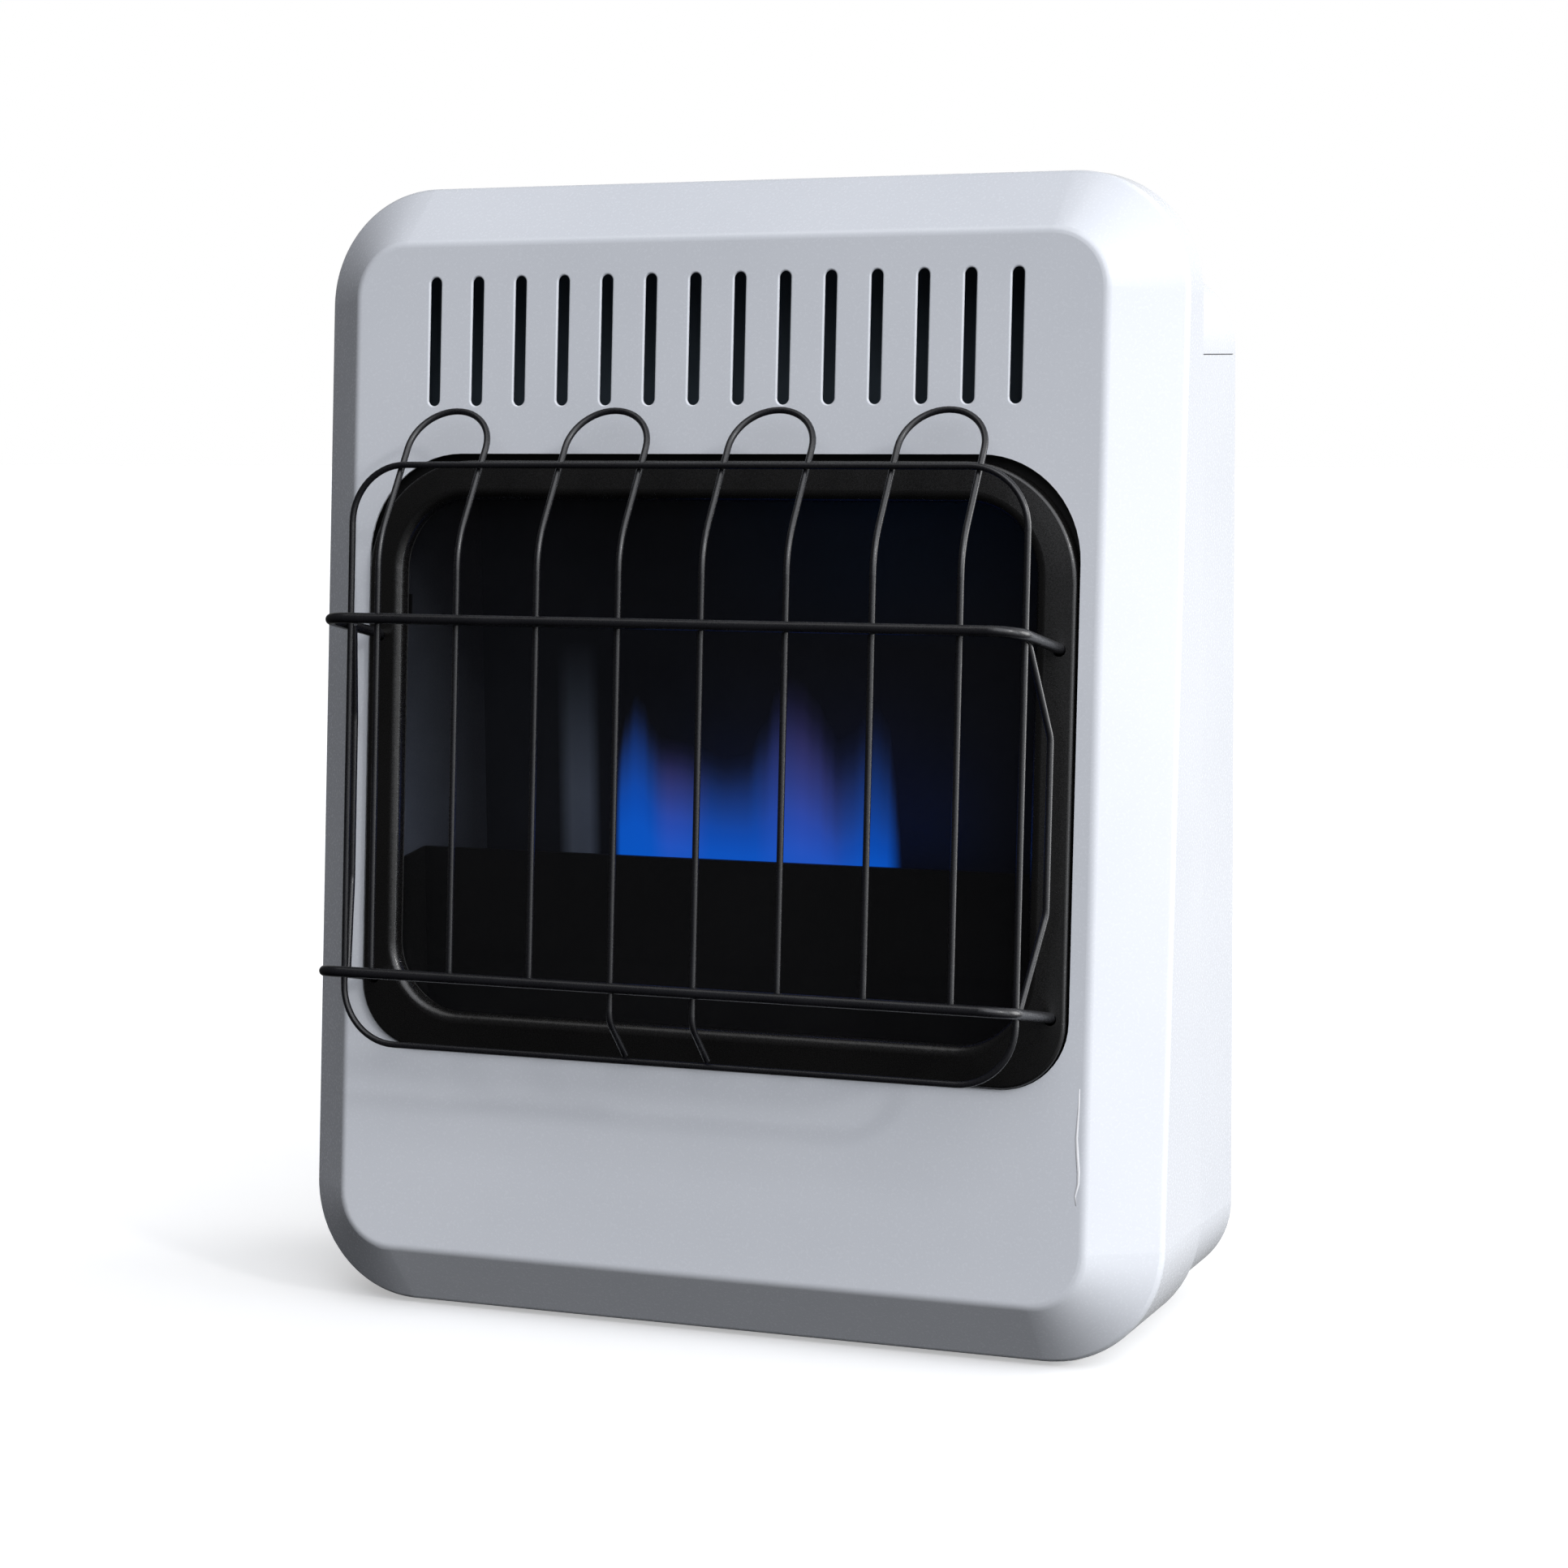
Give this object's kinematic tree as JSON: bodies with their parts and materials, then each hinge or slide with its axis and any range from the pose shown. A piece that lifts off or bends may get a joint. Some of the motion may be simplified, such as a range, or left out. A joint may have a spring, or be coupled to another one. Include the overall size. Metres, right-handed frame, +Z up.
{
  "type": "ventless gas heater",
  "caption": "Wall-hung vent-free gas heater: white bevelled cover with louvre slots, a glazed flame window behind a wire guard, knob and igniter on top.",
  "frame": {"origin": "middle of the four wall-screw holes, on the wall plane at the back panel's rear face", "axes": "+X to the right as seen from the front, +Y back to the wall, +Z up"},
  "size_m": [0.402, 0.2071, 0.5004],
  "materials": {
    "white_enamel": "gloss",
    "black_steel": "satin",
    "firebox_steel": "satin",
    "guard_wire": "satin",
    "glass": "gloss",
    "gasket": "matte",
    "zinc_plate": "satin",
    "burner_steel": "satin",
    "brass": "satin",
    "probe_steel": "satin",
    "ceramic": "gloss",
    "cast_alloy": "satin",
    "gas_tube": "satin",
    "copper_lead": "satin",
    "rubber_lead": "matte",
    "knob_plastic": "satin",
    "button_plastic": "satin",
    "igniter_plastic": "satin"
  },
  "bodies": {
    "root": {"front_cover": "white_enamel", "casing_wrap": "white_enamel", "casing_hood": "white_enamel", "front_frame": "black_steel", "window_bezel": "black_steel", "firebox_front": "black_steel", "burner_shield": "black_steel", "heat_deflector": "black_steel", "firebox_back": "firebox_steel", "firebox_left": "firebox_steel", "firebox_right": "firebox_steel", "firebox_floor": "firebox_steel", "guard_ring": "guard_wire", "guard_hairpins": "guard_wire", "guard_upper_bar": "guard_wire", "guard_lower_bar": "guard_wire", "guard_side_wires": "guard_wire", "glass_pane": "glass", "glass_gasket": "gasket", "back_panel": "zinc_plate", "glass_clips": "zinc_plate", "burner_supports": "zinc_plate", "pilot_bracket": "zinc_plate", "regulator_bracket": "zinc_plate", "cover_screws": "zinc_plate", "burner_body": "burner_steel", "burner_venturi": "burner_steel", "injector": "brass", "pilot_burner": "brass", "valve_cap": "brass", "thermocouple": "probe_steel", "electrode_rod": "probe_steel", "valve_nut": "probe_steel", "igniter_nut": "probe_steel", "spark_electrode": "ceramic", "regulator": "cast_alloy", "control_valve": "cast_alloy", "inlet_tube": "gas_tube", "main_gas_tube": "gas_tube", "pilot_tube": "gas_tube", "thermocouple_lead": "copper_lead", "igniter_lead": "rubber_lead", "igniter_body": "igniter_plastic"},
    "valve_rotor": {"valve_rotor": "brass"},
    "control_knob": {"valve_stem": "probe_steel", "control_knob": "knob_plastic"},
    "igniter_button": {"igniter_button": "button_plastic"}
  },
  "joints": [
    {"name": "knob_turn", "type": "hinge", "parent": "root", "child": "valve_rotor", "pos_m": [0.13, -0.04, 0.2], "axis": [0, 0, 1], "range_deg": [0, 210]},
    {"name": "knob_push", "type": "slide", "parent": "valve_rotor", "child": "control_knob", "axis": [0, 0, -1], "range_m": [0, 0.004], "stiffness_N_per_m": 1500},
    {"name": "igniter_push", "type": "slide", "parent": "root", "child": "igniter_button", "axis": [0, 0, -1], "range_m": [0, 0.005], "stiffness_N_per_m": 2000}
  ]
}
